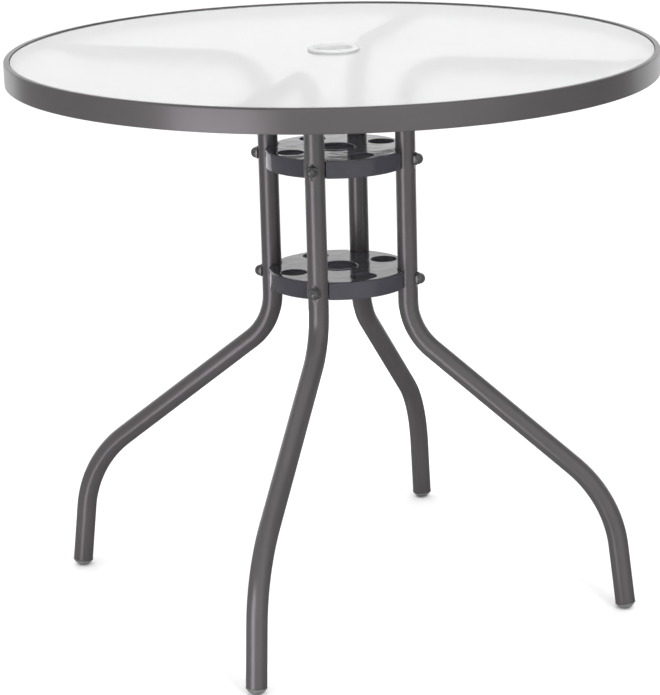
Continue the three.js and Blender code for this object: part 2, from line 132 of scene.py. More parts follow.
def easedLevels(low, high, easeLow, easeHigh, steps=fewSteps):
    # how far a wall is set back at each height, with its lower and upper edges rounded
    turns = [math.pi / 2 * k / steps for k in range(steps + 1)]
    levels = [(easeLow * (1 - math.sin(t)), low + easeLow * (1 - math.cos(t))) for t in turns]
    levels += [(easeHigh * (1 - math.cos(t)), high - easeHigh * (1 - math.sin(t))) for t in turns]
    return levels


def loftRings(shape, rings):
    # joins rings of equal count into a skin, and returns its vertices ring by ring
    made = [[shape.verts.new(p) for p in ring] for ring in rings]
    for lower, upper in zip(made, made[1:]):
        for i in range(len(lower)):
            j = (i + 1) % len(lower)
            shape.faces.new((lower[i], lower[j], upper[j], upper[i]))
    return made


def raiseWall(shape, line, isHole, levels):
    # a wall along a closed line; returns its lowest and its highest ring
    normals = outwardNormals(line, isHole)
    made = loftRings(shape, [
        [(p[0] - n.x * inset, p[1] - n.y * inset, z) for p, n in zip(line, normals)]
        for inset, z in levels
    ])
    return made[0], made[-1]


def fillFlat(shape, loops):
    # a flat face between closed rings that lie in one plane
    edges = []
    for loop in loops:
        for pair in zip(loop, loop[1:] + loop[:1]):
            edges.append(shape.edges.get(pair) or shape.edges.new(pair))
    bmesh.ops.triangle_fill(shape, use_beauty=True, edges=edges)


def easedPlate(shape, outline, holes, low, high, easeLow, easeHigh):
    # a flat plate whose outline and holes have rounded edges below and above
    levels = easedLevels(low, high, easeLow, easeHigh)
    walls = [raiseWall(shape, outline, False, levels)]
    walls += [raiseWall(shape, hole, True, levels) for hole in holes]
    fillFlat(shape, [lower for lower, upper in walls])
    fillFlat(shape, [upper for lower, upper in walls])


def finishShape(shape, name, smoothAngle=32):
    # merges the shape's vertices, turns its faces outward and scales it to metres
    bmesh.ops.remove_doubles(shape, verts=shape.verts, dist=weldReach)
    bmesh.ops.recalc_face_normals(shape, faces=shape.faces)
    bmesh.ops.scale(shape, vec=(mm, mm, mm), verts=shape.verts)
    mesh = bpy.data.meshes.new(name)
    shape.to_mesh(mesh)
    shape.free()
    mesh.shade_smooth()
    mesh.set_sharp_from_angle(angle=math.radians(smoothAngle))
    return mesh


def placePiece(name, mesh, look, slotName, nodes, place=Matrix()):
    # one piece of the dressed table, which takes the place of its CAD nodes
    piece = bpy.data.objects.new(name, mesh)
    bpy.context.scene.collection.objects.link(piece)
    if not mesh.materials:
        mesh.materials.append(look)
    piece.matrix_world = place
    even = piece.modifiers.new("evenShading", "WEIGHTED_NORMAL")
    even.keep_sharp = True
    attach(piece, "root")
    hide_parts(*nodes)


def roundTheTable(leg):
    # the turn from the first leg to this one; half numbers lie between two legs
    return Matrix.Rotation(fullTurn * leg / legCount, 4, "Z")


def newGroup(name, inputs, outputs):
    # a node group of plain numbers, from its inputs with their usual values and its outputs' names
    group = bpy.data.node_groups.new(name, "ShaderNodeTree")
    for label, value in inputs.items():
        socket = group.interface.new_socket(name=label, in_out="INPUT", socket_type="NodeSocketFloat")
        socket.default_value = value
    for label in outputs:
        group.interface.new_socket(name=label, in_out="OUTPUT", socket_type="NodeSocketFloat")
    return group, group.nodes.new("NodeGroupInput"), group.nodes.new("NodeGroupOutput")


def addNode(tree, kind, **settings):
    made = tree.nodes.new(kind)
    for key, value in settings.items():
        if key in made.inputs:
            made.inputs[key].default_value = value
        else:
            setattr(made, key, value)
    return made


def mathNode(tree, operation, first, second=0.0):
    made = tree.nodes.new("ShaderNodeMath")
    made.operation = operation
    for slotNumber, value in enumerate((first, second)):
        if hasattr(value, "is_output"):
            tree.links.new(value, made.inputs[slotNumber])
        else:
            made.inputs[slotNumber].default_value = value
    return made.outputs[0]


def mapRange(tree, value, fromMin, fromMax, **settings):
    made = addNode(tree, "ShaderNodeMapRange", **settings)
    made.inputs["From Min"].default_value = fromMin
    made.inputs["From Max"].default_value = fromMax
    tree.links.new(value, made.inputs["Value"])
    return made


def makeCoatGrain():
    # the fine orange peel of a coat or a moulding: a height, and a slow drift of tone
    pitCloseness, pitShare = 0.7, 0.5       # the pits' scale and height beside the peel's
    group, ins, outs = newGroup(
        "coatGrain", {"Grain Size": 900.0, "Drift Size": 14.0, "Warp": 0.0}, ["Height", "Drift"],
    )
    place = addNode(group, "ShaderNodeTexCoord")
    peel = addNode(group, "ShaderNodeTexNoise", Detail=1.0, Roughness=0.5)
    pits = addNode(group, "ShaderNodeTexVoronoi", feature="SMOOTH_F1")
    drift = addNode(group, "ShaderNodeTexNoise", Detail=2.0, Roughness=0.5)
    for texture in (peel, pits, drift):
        group.links.new(place.outputs["Object"], texture.inputs["Vector"])
    grainSize = ins.outputs["Grain Size"]
    group.links.new(grainSize, peel.inputs["Scale"])
    group.links.new(mathNode(group, "MULTIPLY", grainSize, pitCloseness), pits.inputs["Scale"])
    group.links.new(ins.outputs["Drift Size"], drift.inputs["Scale"])
    pitHeight = mathNode(group, "MULTIPLY", pits.outputs["Distance"], pitShare)
    height = mathNode(group, "ADD", peel.outputs[0], pitHeight)
    sway = mathNode(group, "MULTIPLY", drift.outputs[0], ins.outputs["Warp"])
    group.links.new(mathNode(group, "ADD", height, sway), outs.inputs["Height"])
    group.links.new(drift.outputs[0], outs.inputs["Drift"])
    return group


def makeHandling():
    # faint wiping marks that change the gloss, and specks where dust has settled
    smearRange, speckRange, speckSize = (0.3, 0.7), (0.68, 0.74), 700.0
    group, ins, outs = newGroup(
        "handlingMarks", {"Mark Size": 30.0, "Gloss Low": 0.3, "Gloss High": 0.5}, ["Roughness", "Specks"],
    )
    place = addNode(group, "ShaderNodeTexCoord")
    smear = addNode(group, "ShaderNodeTexNoise", Detail=2.0, Roughness=0.5)
    group.links.new(place.outputs["Object"], smear.inputs["Vector"])
    group.links.new(ins.outputs["Mark Size"], smear.inputs["Scale"])
    gloss = mapRange(group, smear.outputs[0], *smearRange)
    group.links.new(ins.outputs["Gloss Low"], gloss.inputs["To Min"])
    group.links.new(ins.outputs["Gloss High"], gloss.inputs["To Max"])
    group.links.new(gloss.outputs[0], outs.inputs["Roughness"])
    dots = addNode(group, "ShaderNodeTexNoise", Scale=speckSize, Detail=1.0)
    group.links.new(place.outputs["Object"], dots.inputs["Vector"])
    few = mapRange(group, dots.outputs[0], *speckRange)
    group.links.new(few.outputs[0], outs.inputs["Specks"])
    return group


def makeMouldInside():
    # marks the hollow underside of a turned moulding: inside a radius and below a height
    group, ins, outs = newGroup("mouldInside", {"Radius": 0.08, "Height": 0.0}, ["Mask"])
    place = addNode(group, "ShaderNodeTexCoord")
    parts = addNode(group, "ShaderNodeSeparateXYZ")
    group.links.new(place.outputs["Object"], parts.inputs[0])
    squares = [mathNode(group, "POWER", parts.outputs[axis], 2.0) for axis in ("X", "Y")]
    away = mathNode(group, "SQRT", mathNode(group, "ADD", *squares))
    within = mathNode(group, "LESS_THAN", away, ins.outputs["Radius"])
    below = mathNode(group, "LESS_THAN", parts.outputs["Z"], ins.outputs["Height"])
    group.links.new(mathNode(group, "MULTIPLY", within, below), outs.inputs["Mask"])
    return group


coatGrain = makeCoatGrain()
handlingMarks = makeHandling()
mouldInside = makeMouldInside()


def newLook(name):
    look = bpy.data.materials.new(name)
    look.use_nodes = True
    tree = look.node_tree
    return look, tree, tree.nodes["Principled BSDF"]


def placeGroup(tree, group, **values):
    made = tree.nodes.new("ShaderNodeGroup")
    made.node_tree = group
    for key, value in values.items():
        made.inputs[key.replace("_", " ")].default_value = value
    return made


def toneRamp(tree, value, low, high, stops=(0.0, 1.0)):
    # a colour that goes from low to high as the value goes from the first stop to the second
    ramp = addNode(tree, "ShaderNodeValToRGB")
    for end, stop, colour in zip(ramp.color_ramp.elements, stops, (low, high)):
        end.position = stop
        end.color = (*colour, 1)
    tree.links.new(value, ramp.inputs["Fac"])
    return ramp.outputs["Color"]


def bumpFrom(tree, shader, height, values):
    bump = addNode(tree, "ShaderNodeBump", Strength=values["bump"], Distance=values["bumpDepth"])
    tree.links.new(height, bump.inputs["Height"])
    tree.links.new(bump.outputs["Normal"], shader.inputs["Normal"])


def grainAndMarks(tree, values):
    grainSize, driftSize, warp = values["grainSize"], values["driftSize"], values["warp"]
    low, high = values["gloss"]
    grain = placeGroup(tree, coatGrain, Grain_Size=grainSize, Drift_Size=driftSize, Warp=warp)
    marks = placeGroup(tree, handlingMarks, Mark_Size=values["markSize"], Gloss_Low=low, Gloss_High=high)
    return grain, marks


usualCoat = {
    "bumpDepth": 0.0002, "warp": 0.0, "metallic": 0.0, "ior": 1.6, "speckShare": 0.3, "driftStops": (0.35, 0.65),
}


def coatedLook(name, **special):
    # a coat or a moulding: base colour that drifts, fine grain, and marks in the gloss
    values = {**usualCoat, **special}
    look, tree, shader = newLook(name)
    grain, marks = grainAndMarks(tree, values)
    dusty = addNode(tree, "ShaderNodeMix", data_type="RGBA")
    dusty.inputs[7].default_value = (*values["speck"], 1)
    tree.links.new(mathNode(tree, "MULTIPLY", marks.outputs["Specks"], values["speckShare"]), dusty.inputs[0])
    tone = toneRamp(tree, grain.outputs["Drift"], values["darker"], values["lighter"], values["driftStops"])
    tree.links.new(tone, dusty.inputs[6])
    tree.links.new(dusty.outputs[2], shader.inputs["Base Color"])
    roughness = marks.outputs["Roughness"]
    if "inside" in values:
        radius, height = values["inside"]
        inside = placeGroup(tree, mouldInside, Radius=radius, Height=height)
        rougher = mathNode(tree, "MULTIPLY", inside.outputs["Mask"], values["insideRougher"])
        roughness = mathNode(tree, "ADD", roughness, rougher)
    tree.links.new(roughness, shader.inputs["Roughness"])
    bumpFrom(tree, shader, grain.outputs["Height"], values)
    shader.inputs["Metallic"].default_value = values["metallic"]
    shader.inputs["IOR"].default_value = values["ior"]
    return look


frameCoat = coatedLook(
    "powderCoat", grainSize=700.0, driftSize=9.0, markSize=26.0, gloss=(0.285, 0.31), bump=0.045,
    darker=(0.062, 0.0585, 0.0595), lighter=(0.069, 0.065, 0.0665), speck=(0.12, 0.115, 0.11), speckShare=0.08,
)
nutCoat = coatedLook(
    "nutCoat", grainSize=1800.0, driftSize=60.0, markSize=90.0, gloss=(0.2, 0.3), bump=0.04,
    darker=(0.05, 0.049, 0.05), lighter=(0.064, 0.063, 0.064), speck=(0.15, 0.15, 0.14), speckShare=0.2,
)
footMoulding = coatedLook(
    "footMoulding", grainSize=1100.0, driftSize=40.0, markSize=60.0, gloss=(0.26, 0.38), bump=0.08,
    darker=(0.165, 0.168, 0.165), lighter=(0.195, 0.198, 0.195), speck=(0.3, 0.29, 0.27),
    bumpDepth=0.0003, ior=1.5,
)
zincPlate = coatedLook(
    "zincPlate", grainSize=1300.0, driftSize=90.0, markSize=120.0, gloss=(0.26, 0.42), bump=0.12,
    darker=(0.46, 0.47, 0.48), lighter=(0.6, 0.6, 0.61), speck=(0.3, 0.3, 0.3), metallic=1.0, ior=1.5,
)
padRubber = coatedLook(
    "padRubber", grainSize=1600.0, driftSize=120.0, markSize=120.0, gloss=(0.5, 0.62), bump=0.2,
    darker=(0.55, 0.55, 0.53), lighter=(0.64, 0.64, 0.62), speck=(0.4, 0.4, 0.4), bumpDepth=0.0003, ior=1.45,
)


def pebbledGlassLook(values, middle):
    # smooth above and pebbled below: the bump works on the flat face under the middle of the sheet
    look, tree, shader = newLook("pebbledGlass")
    place = addNode(tree, "ShaderNodeTexCoord")
    wander = addNode(tree, "ShaderNodeTexNoise", Scale=values["wanderScale"], Detail=2.0)
    tree.links.new(place.outputs["Object"], wander.inputs["Vector"])
    shift = addNode(tree, "ShaderNodeMix", data_type="VECTOR")
    shift.inputs[0].default_value = values["wander"]
    tree.links.new(place.outputs["Object"], shift.inputs[4])
    tree.links.new(wander.outputs["Color"], shift.inputs[5])
    pebbles = addNode(tree, "ShaderNodeTexVoronoi", feature="SMOOTH_F1", Scale=values["pebbleScale"])
    ripples = addNode(tree, "ShaderNodeTexNoise", Scale=values["rippleScale"], Detail=3.0)
    for texture in (pebbles, ripples):
        tree.links.new(shift.outputs[1], texture.inputs["Vector"])
    rippleHeight = mathNode(tree, "MULTIPLY", ripples.outputs[0], values["rippleShare"])
    height = mathNode(tree, "ADD", pebbles.outputs["Distance"], rippleHeight)
    facts = addNode(tree, "ShaderNodeNewGeometry")
    facing = addNode(tree, "ShaderNodeSeparateXYZ")
    where = addNode(tree, "ShaderNodeSeparateXYZ")
    tree.links.new(facts.outputs["True Normal"], facing.inputs[0])
    tree.links.new(facts.outputs["Position"], where.inputs[0])
    flat = mathNode(tree, "GREATER_THAN", mathNode(tree, "ABSOLUTE", facing.outputs["Z"]), values["flatness"])
    under = mathNode(tree, "LESS_THAN", where.outputs["Z"], middle * mm)
    mask = mathNode(tree, "MULTIPLY", flat, under)
    bumpFrom(tree, shader, mathNode(tree, "MULTIPLY", height, mask), values)
    tone = toneRamp(tree, ripples.outputs[0], values["deeper"], values["clearer"])
    tree.links.new(tone, shader.inputs["Base Color"])
    rough = mapRange(tree, mask, 0.0, 1.0)
    rough.inputs["To Min"].default_value = values["smoothAbove"]
    rough.inputs["To Max"].default_value = values["roughBelow"]
    tree.links.new(rough.outputs[0], shader.inputs["Roughness"])
    shader.inputs["Transmission Weight"].default_value = values["transmission"]
    shader.inputs["IOR"].default_value = values["ior"]
    return look


def clearPlasticLook(values):
    look, tree, shader = newLook("ringPlastic")
    grain, marks = grainAndMarks(tree, values)
    tone = toneRamp(tree, grain.outputs["Drift"], values["deeper"], values["clearer"])
    tree.links.new(tone, shader.inputs["Base Color"])
    tree.links.new(marks.outputs["Roughness"], shader.inputs["Roughness"])
    bumpFrom(tree, shader, grain.outputs["Height"], values)
    shader.inputs["Transmission Weight"].default_value = values["transmission"]
    shader.inputs["IOR"].default_value = values["ior"]
    return look


ringPlastic = clearPlasticLook({
    "grainSize": 500.0, "driftSize": 60.0, "warp": 0.0, "markSize": 80.0, "gloss": (0.4, 0.5),
    "deeper": (0.955, 0.96, 0.96), "clearer": (0.98, 0.985, 0.985),
    "bump": 0.08, "bumpDepth": 0.0002, "transmission": 0.64, "ior": 1.49,
})
print("materials ready")


rimSizes = {
    "radius": 400.0, "top": 700.0, "bandHeight": 29.0, "landWidth": 7.0, "sheet": 1.2,
    "ledgeTop": 691.1, "ledgeWidth": 6.0, "hemWidth": 4.0,
    "outerFold": 2.2, "innerFold": 0.9, "hemFold": 1.1, "insideFold": 0.6, "underFold": 0.4,
    "wellFold": 0.2, "edge": 0.3, "segments": 288,
}


def makeRim(v):
    shape = bmesh.new()
    radius, top, sheet, edge = v["radius"], v["top"], v["sheet"], v["edge"]
    bottom, well, ledge = top - v["bandHeight"], radius - v["landWidth"], v["ledgeTop"]
    hem, lip = radius - v["hemWidth"], well - v["ledgeWidth"]
    profile = easeCorners([
        (hem, bottom, edge),
        (radius, bottom, v["hemFold"]),
        (radius, top, v["outerFold"]),
        (well, top, v["innerFold"]),
        (well, ledge, v["wellFold"]),
        (lip, ledge, edge),
        (lip, ledge - sheet, edge),
        (well + sheet, ledge - sheet, v["underFold"]),
        (well + sheet, top - sheet, edge),
        (radius - sheet, top - sheet, v["insideFold"]),
        (radius - sheet, bottom + sheet, edge),
        (hem, bottom + sheet, edge),
    ])
    turnProfile(shape, profile, v["segments"])
    return finishShape(shape, "rimMesh")


placePiece("rim", makeRim(rimSizes), frameCoat, "frame_steel", ["rim_band"])


glassSizes = {
    "radius": 392.4, "hole": 25.3, "top": 698.5, "thickness": 5.0, "arris": 0.8, "segments": 288,
    "padRadius": 2.4, "padThickness": 1.8, "padOffset": 389.6, "padEdge": 0.2, "padRound": 0.35, "padSegments": 32,
}
glassLook = pebbledGlassLook({
    "pebbleScale": 230.0, "rippleScale": 460.0, "rippleShare": 0.6, "wander": 0.02, "wanderScale": 115.0,
    "flatness": 0.9, "bump": 0.28, "bumpDepth": 0.0003, "smoothAbove": 0.02, "roughBelow": 0.05,
    "deeper": (0.74, 0.745, 0.745), "clearer": (0.785, 0.79, 0.79), "transmission": 0.7, "ior": 1.5,
}, glassSizes["top"] - glassSizes["thickness"] / 2)


def makeGlass(v):
    shape = bmesh.new()
    low, high = v["top"] - v["thickness"], v["top"]
    corners = [(v["hole"], low), (v["radius"], low), (v["radius"], high), (v["hole"], high)]
    turnProfile(shape, easeCorners([(r, z, v["arris"]) for r, z in corners]), v["segments"])
    return finishShape(shape, "glassMesh")


def makePad(v):
    shape = bmesh.new()
    radius, low = v["padRadius"], v["top"] - v["thickness"] - seatGap - v["padThickness"]
    high = low + v["padThickness"]
    corners = [(0, low, 0), (radius, low, v["padEdge"]), (radius, high, v["padRound"]), (0, high, 0)]
    turnProfile(shape, easeCorners(corners, fewSteps, closed=False), v["padSegments"], closed=False)
    return finishShape(shape, "padMesh")


placePiece("glass", makeGlass(glassSizes), glassLook, "pebbled_glass", ["glass_top"])
padMesh = makePad(glassSizes)
for number in range(1, legCount + 1):
    place = roundTheTable(number - 0.5) @ Matrix.Translation((glassSizes["padOffset"] * mm, 0, 0))
    placePiece(f"glassPad{number}", padMesh, padRubber, "pad_rubber", [f"glass_pad_{number}"], place)


ringSizes = {
    "bore": 23.0, "wall": 2.0, "flangeRadius": 32.0, "flangeThickness": 3.0, "flangeEdge": 1.6,
    "flangeRound": 1.2, "rimRound": 0.3, "seatRound": 0.2, "mouthRound": 0.8,
    "bead": 0.7, "beadLength": 2.0, "beadRound": 0.3, "beadEdge": 0.2, "crease": 0.1,
    "depthBelow": 6.0, "endInside": 0.5, "endOutside": 0.6, "segments": 96,
}


def makeRing(v, glass):
    shape = bmesh.new()
    bore, flange = v["bore"], v["flangeRadius"]
    barrel = bore + v["wall"]
    bead = barrel + v["bead"]
    seat = glass["top"] + seatGap
    high = seat + v["flangeThickness"]
    under = glass["top"] - glass["thickness"]
    low, beadTop = under - v["depthBelow"], under - seatGap
    profile = easeCorners([
        (bore, low, v["endInside"]),
        (barrel, low, v["endOutside"]),
        (bead, beadTop - v["beadLength"], v["beadRound"]),
        (bead, beadTop, v["beadEdge"]),
        (barrel, beadTop, v["crease"]),
        (barrel, seat, v["crease"]),
        (flange, seat, v["seatRound"]),
        (flange, seat + v["flangeEdge"], v["rimRound"]),
        (flange - v["wall"], high, v["flangeRound"]),
        (bore, high, v["mouthRound"]),
    ])
    turnProfile(shape, profile, v["segments"])
    return finishShape(shape, "ringMesh")


placePiece("poleRing", makeRing(ringSizes, glassSizes), ringPlastic, "clear_plastic", ["parasol_ring"])
print("top made")


legSizes = {
    "tubeRadius": 12.5, "tubeWall": 1.2, "upright": 89.0, "kneeOffset": 349.5, "kneeHeight": 144.48,
    "hipHeight": 348.53, "footOffset": 367.0, "armHeight": 677.6, "armBend": 61.0, "hipBend": 80.0,
    "kneeBend": 152.0, "armTip": 386.0, "tongueLength": 24.0, "pressLength": 34.0,
    "tongueHeight": 684.85, "tongueHalf": 1.45, "tongueWide": 18.02, "tongueSquare": 6.0,
    "flatDepth": 1.0, "flatLength": 11.0, "flatRamp": 7.0, "upperBolt": 566.51, "lowerBolt": 415.03,
    "lip": 0.25, "boreDepth": 18.0, "sides": 40,
    "pressSteps": 12, "armSteps": 24, "rampSteps": 6, "hipSteps": 18, "kneeSteps": 20,
}


capSizes = {
    "dome": 8.2, "flat": 0.5, "domeInset": 0.3, "domeSteps": 14, "stem": 14.0, "stemChamfer": 1.0,
    "bead": 0.45, "beadDepth": 1.1,
    # the bead's course from the dome up to the tube: how far it is set back, and its share of the depth
    "beadCourse": ((0.2, 0.75), (0.0, 0.5), (0.1, 0.25), (0.4, 0.06), (0.8, 0.0)),
}
circlePower = 2.0       # the power of a superellipse that is a plain circle


def footFacts(v, cap):
    # how far the foot leans, the radius of the cap's dome, and the height of the tube's end
    lean = math.atan((v["footOffset"] - v["kneeOffset"]) / v["kneeHeight"])
    sphere = (v["tubeRadius"] ** 2 + cap["dome"] ** 2) / (2 * cap["dome"])
    capHeight = sphere - (sphere - cap["dome"]) * math.cos(lean) - cap["flat"]
    return lean, sphere, capHeight


def bendLine(corner, before, after, radius, steps):
    # (x, z, heading) round a bend of the centre line, from one heading to the next
    turn = after - before
    reach = radius * math.tan(abs(turn) / 2)
    startX = corner[0] - reach * math.cos(before)
    startZ = corner[1] - reach * math.sin(before)
    side = math.copysign(math.pi / 2, turn)
    centreX = startX + radius * math.cos(before + side)
    centreZ = startZ + radius * math.sin(before + side)
    headings = [before + turn * i / steps for i in range(steps + 1)]
    return [(centreX - radius * math.cos(h + side), centreZ - radius * math.sin(h + side), h) for h in headings]


def legStations(v, cap):
    # (x, z, heading, half height, half width, power, pressed depth) from the arm's tip to the foot
    lean, sphere, capHeight = footFacts(v, cap)
    radius, thin, wide, square = v["tubeRadius"], v["tongueHalf"], v["tongueWide"], v["tongueSquare"]
    stations = []

    def plain(line, pressed=0.0):
        stations.extend((x, z, heading, radius, radius, circlePower, pressed) for x, z, heading in line)

    for share in (0.0, 0.5, 1.0):
        x = v["armTip"] - v["tongueLength"] * share
        stations.append((x, v["tongueHeight"], math.pi, thin, wide, square, 0.0))
    for i in range(1, v["pressSteps"] + 1):
        share = i / v["pressSteps"]
        eased = share * share * (3 - 2 * share)
        stations.append((
            v["armTip"] - v["tongueLength"] - v["pressLength"] * share,
            v["tongueHeight"] + (v["armHeight"] - v["tongueHeight"]) * eased,
            math.pi,
            thin + (radius - thin) * eased,
            wide + (radius - wide) * eased,
            square + (circlePower - square) * math.sqrt(share),
            0.0,
        ))
    down = math.pi * 1.5
    splay = fullTurn + math.atan2(v["kneeHeight"] - v["hipHeight"], v["kneeOffset"] - v["upright"])
    plain(bendLine((v["upright"], v["armHeight"]), math.pi, down, v["armBend"], v["armSteps"]))
    ramp = [i / v["rampSteps"] for i in range(v["rampSteps"] + 1)]
    for height in (v["upperBolt"], v["lowerBolt"]):
        for side, shares in ((1, reversed(ramp)), (-1, ramp)):
            for share in shares:
                z = height + side * (v["flatLength"] / 2 + v["flatRamp"] * share)
                plain([(v["upright"], z, down)], v["flatDepth"] * math.cos(share * math.pi / 2))
    plain(bendLine((v["upright"], v["hipHeight"]), down, splay, v["hipBend"], v["hipSteps"]))
    plain(bendLine((v["kneeOffset"], v["kneeHeight"]), splay, down + lean, v["kneeBend"], v["kneeSteps"]))
    footHeight = capHeight + seatGap * math.cos(lean)
    plain([(v["footOffset"] - footHeight * math.tan(lean), footHeight, down + lean)])
    return stations


def tubeRing(station, inset, sides):
    # a ring of the tube's wall, cut off flat where the tube is pressed
    x, z, heading, half, wide, power, pressed = station
    limit = half - pressed - inset
    half, wide = half - inset, wide - inset
    ring = []
    for i in range(sides):
        angle = fullTurn * i / sides
        c, s = math.cos(angle), math.sin(angle)
        along = min(half * math.copysign(abs(c) ** (2 / power), c), limit)
        across = wide * math.copysign(abs(s) ** (2 / power), s)
        ring.append((x - math.sin(heading) * along, across, z + math.cos(heading) * along))
    return ring


def alongTube(station, distance):
    x, z, heading = station[:3]
    return (x + math.cos(heading) * distance, z + math.sin(heading) * distance, *station[2:])


def makeLeg(v, cap):
    # from inside the arm's end, over the whole skin, and back into the foot's end
    shape = bmesh.new()
    wall, lip, deep = v["tubeWall"], v["lip"], v["boreDepth"]
    first, *middle, last = legStations(v, cap)
    course = [(alongTube(first, deep), wall), (first, wall), (first, lip), (alongTube(first, lip), 0)]
    course += [(station, 0) for station in middle]
    course += [(alongTube(last, -lip), 0), (last, lip), (last, wall), (alongTube(last, -deep), wall)]
    made = loftRings(shape, [tubeRing(station, inset, v["sides"]) for station, inset in course])
    shape.faces.new(list(reversed(made[0])))
    shape.faces.new(made[-1])
    return finishShape(shape, "legMesh", smoothAngle=40)


def makeFootCap(v, cap):
    # a dome below, a bead where it meets the tube, and a stem inside the tube
    shape = bmesh.new()
    lean, sphere, capHeight = footFacts(v, cap)
    radius, depth, stemTop, chamfer = v["tubeRadius"], cap["beadDepth"], cap["stem"], cap["stemChamfer"]
    stem = radius - v["tubeWall"] - seatGap
    centre = sphere - cap["dome"]
    domeTurn = math.acos((centre + depth) / sphere)
    widen = radius / (radius - cap["domeInset"])
    turns = [domeTurn * i / cap["domeSteps"] for i in range(cap["domeSteps"] + 1)]
    profile = [(widen * sphere * math.sin(t), centre - sphere * math.cos(t)) for t in turns]
    profile += [(radius + cap["bead"] - inset, -depth * share) for inset, share in cap["beadCourse"]]
    profile += [(stem, 0.0), (stem, stemTop - chamfer), (stem - chamfer, stemTop), (0, stemTop)]
    turnProfile(shape, profile, v["sides"], closed=False)
    tilt = Matrix.Rotation(-lean, 4, "Y")
    move = Matrix.Translation((v["footOffset"] - capHeight * math.tan(lean), 0, capHeight))
    bmesh.ops.transform(shape, matrix=move @ tilt, verts=shape.verts)
    for vertex in shape.verts:
        vertex.co.z = max(vertex.co.z, 0)       # the dome is worn flat on the floor
    return finishShape(shape, "footCapMesh")


legMesh = makeLeg(legSizes, capSizes)
footCapMesh = makeFootCap(legSizes, capSizes)
for number in range(1, legCount + 1):
    place = roundTheTable(number - 1)
    placePiece(f"leg{number}", legMesh, frameCoat, "frame_steel", [f"leg_{number}"], place)
    placePiece(f"footCap{number}", footCapMesh, footMoulding, "foot_plastic", [f"foot_cap_{number}"], place)
print("legs made")


hubSizes = {
    "radius": 88.0, "height": 22.0, "wall": 2.8, "deck": 3.0, "legOffset": 89.0, "notch": 12.8,
    "topRound": 2.6, "topSteps": 6, "footEdge": 0.5, "earRound": 2.2, "earInside": 0.8,
    "lineSteps": 20, "cornerSteps": 6,
    "bore": 22.0, "collarWall": 2.6, "collarRise": 0.9, "collarFoot": 0.5, "collarOutside": 0.8,
    "collarInside": 1.2, "collarSteps": 5, "collarSegments": 72, "boreSegments": 64,
    "holeRadius": 16.4, "holeOffset": 63.54, "holeBelow": 0.3, "holeAbove": 0.7, "holeSegments": 56,
    "ribThickness": 2.2, "ribSpread": 9.0, "ribSetback": 3.0, "ribEdge": 0.4, "ribRoot": 0.4,
    "ribStart": 1.5, "ribEnd": 1.0, "bossFace": 72.7, "innerMargin": 0.1,
}


def hubHollow(v):
    # the radius and the height, in metres, that hold all of the hub's unpolished underside
    radius = v["radius"] - v["wall"] - v["innerMargin"]
    height = v["height"] / 2 - v["deck"] - v["innerMargin"]
    return radius * mm, height * mm


hubMoulding = coatedLook(
    "hubMoulding", grainSize=700.0, driftSize=24.0, markSize=40.0, gloss=(0.08, 0.12), bump=0.05,
    darker=(0.046, 0.045, 0.054), lighter=(0.053, 0.052, 0.062), speck=(0.2, 0.2, 0.2), speckShare=0.15,
    warp=110.0, ior=1.45, inside=hubHollow(hubSizes), insideRougher=0.5,
)


def hubLine(v, radius, notch, ease):
    # a circle with a notch round each leg; the corners between the two are rounded
    leg, steps = v["legOffset"], v["lineSteps"]
    points = []
    cornerReach, notchReach = radius - ease, notch + ease
    difference = cornerReach ** 2 - notchReach ** 2
    atAxis = math.acos((leg ** 2 + difference) / (2 * cornerReach * leg))
    atLeg = math.acos((leg ** 2 - difference) / (2 * notchReach * leg))

    def corner(heading, start, end):
        x, y = cornerReach * math.cos(heading), cornerReach * math.sin(heading)
        return arcLine(x, y, ease, start, end, v["cornerSteps"])[1:-1]

    for number in range(legCount):
        azimuth = number * fullTurn / legCount
        following = azimuth + fullTurn / legCount
        legX, legY = leg * math.cos(azimuth), leg * math.sin(azimuth)
        near, far = azimuth + atAxis, following - atAxis
        points += arcLine(legX, legY, notch, azimuth + math.pi + atLeg, azimuth + math.pi - atLeg, steps)
        points += corner(near, azimuth - atLeg, near)
        points += arcLine(0, 0, radius, near, far, steps * 2)
        points += corner(far, far, following + atLeg)
    return points


def addRibs(shape, v, low, high):
    # one leg's pair of ribs under the deck, and the boss between them that takes the bolt
    spread, half = v["ribSpread"], v["ribThickness"] / 2
    start, end = v["bore"] + v["ribStart"], v["legOffset"] - v["notch"] - v["ribEnd"]
    boxes = [(start, across - half, across + half) for across in (-spread, spread)]
    boxes.append((v["bossFace"], -spread, spread))
    for near, a, b in boxes:
        easedPlate(shape, [(near, a), (end, a), (end, b), (near, b)], [], low, high, v["ribEdge"], 0)


